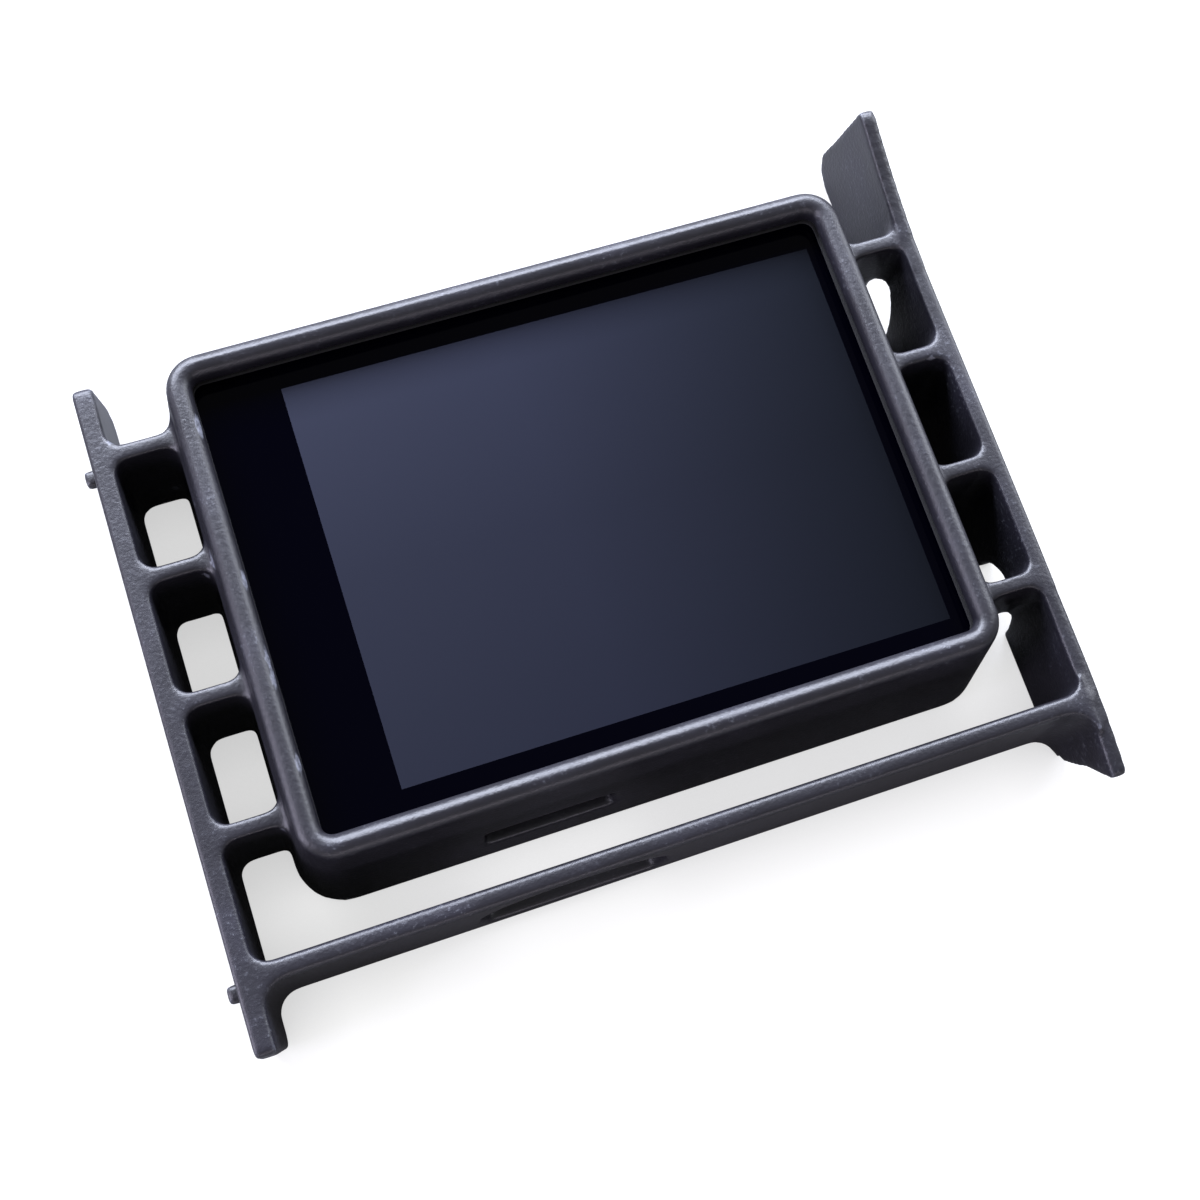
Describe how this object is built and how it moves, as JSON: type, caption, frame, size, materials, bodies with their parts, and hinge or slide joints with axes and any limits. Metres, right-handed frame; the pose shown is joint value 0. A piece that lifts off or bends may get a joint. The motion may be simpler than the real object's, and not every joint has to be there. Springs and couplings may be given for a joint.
{
  "type": "radar detector display head",
  "caption": "Vent-fit radar detector display head: framed screen box with ribbed side rails, a lower cross bar, a memory card slot and a rear wiring socket.",
  "frame": {"origin": "centre of the whole part in X and Y, at the flat rear face", "axes": "+X to the right and +Y up the screen as its user sees it, +Z out of the screen"},
  "size_m": [0.0932, 0.0796, 0.0183],
  "materials": {
    "housing": "satin moulded, fine grain",
    "inner_plastic": "moulded",
    "adhesive": "die-cut foam tape",
    "cover_glass": "polished, black printed border",
    "lcd_glass": "smooth",
    "guide_plastic": "clear acrylic with white film",
    "led_strip": "phosphor",
    "tray_steel": "stamped sheet",
    "foam": "closed-cell foam",
    "board": "solder mask",
    "ribbon": "polyimide",
    "cream_plastic": "nylon",
    "chip": "epoxy",
    "can_metal": "plain",
    "ferrite": "pressed powder",
    "spring_steel": "drawn wire",
    "card_plastic": "smooth",
    "gold_contacts": "gold flash",
    "screw_steel": "black zinc"
  },
  "bodies": {
    "head": {"vent_frame_housing": "housing", "inner_frame": "inner_plastic", "rear_cover": "housing", "lens_gasket": "adhesive", "cover_lens": "cover_glass", "lcd_panel": "lcd_glass", "light_guide": "guide_plastic", "backlight_led_strip": "led_strip", "display_metal_tray": "tray_steel", "foam_pad_left": "foam", "foam_pad_right": "foam", "main_board": "board", "display_ribbon": "ribbon", "ribbon_connector": "cream_plastic", "controller_chip": "chip", "memory_chip": "chip", "crystal_can": "can_metal", "power_inductor": "ferrite", "capacitor_left": "can_metal", "capacitor_right": "can_metal", "alert_buzzer": "inner_plastic", "wiring_header": "cream_plastic", "card_socket_base": "inner_plastic", "card_socket_shell": "can_metal", "card_eject_spring": "spring_steel", "header_pin_1": "gold_contacts", "header_pin_2": "gold_contacts", "header_pin_3": "gold_contacts", "header_pin_4": "gold_contacts", "header_pin_5": "gold_contacts", "cover_screw_1": "screw_steel", "cover_screw_2": "screw_steel", "cover_screw_3": "screw_steel", "cover_screw_4": "screw_steel"},
    "card": {"memory_card": "card_plastic"},
    "eject_slider": {"card_eject_slider": "cream_plastic"}
  },
  "joints": [
    {"name": "card_slide", "type": "slide", "parent": "head", "child": "card", "axis": [0, -1, 0], "range_m": [-0.0008, 0.026]},
    {"name": "eject_slider_push", "type": "slide", "parent": "head", "child": "eject_slider", "axis": [0, 1, 0], "range_m": [0, 0.0008], "stiffness_N_per_m": 60, "springref_m": -0.001}
  ]
}
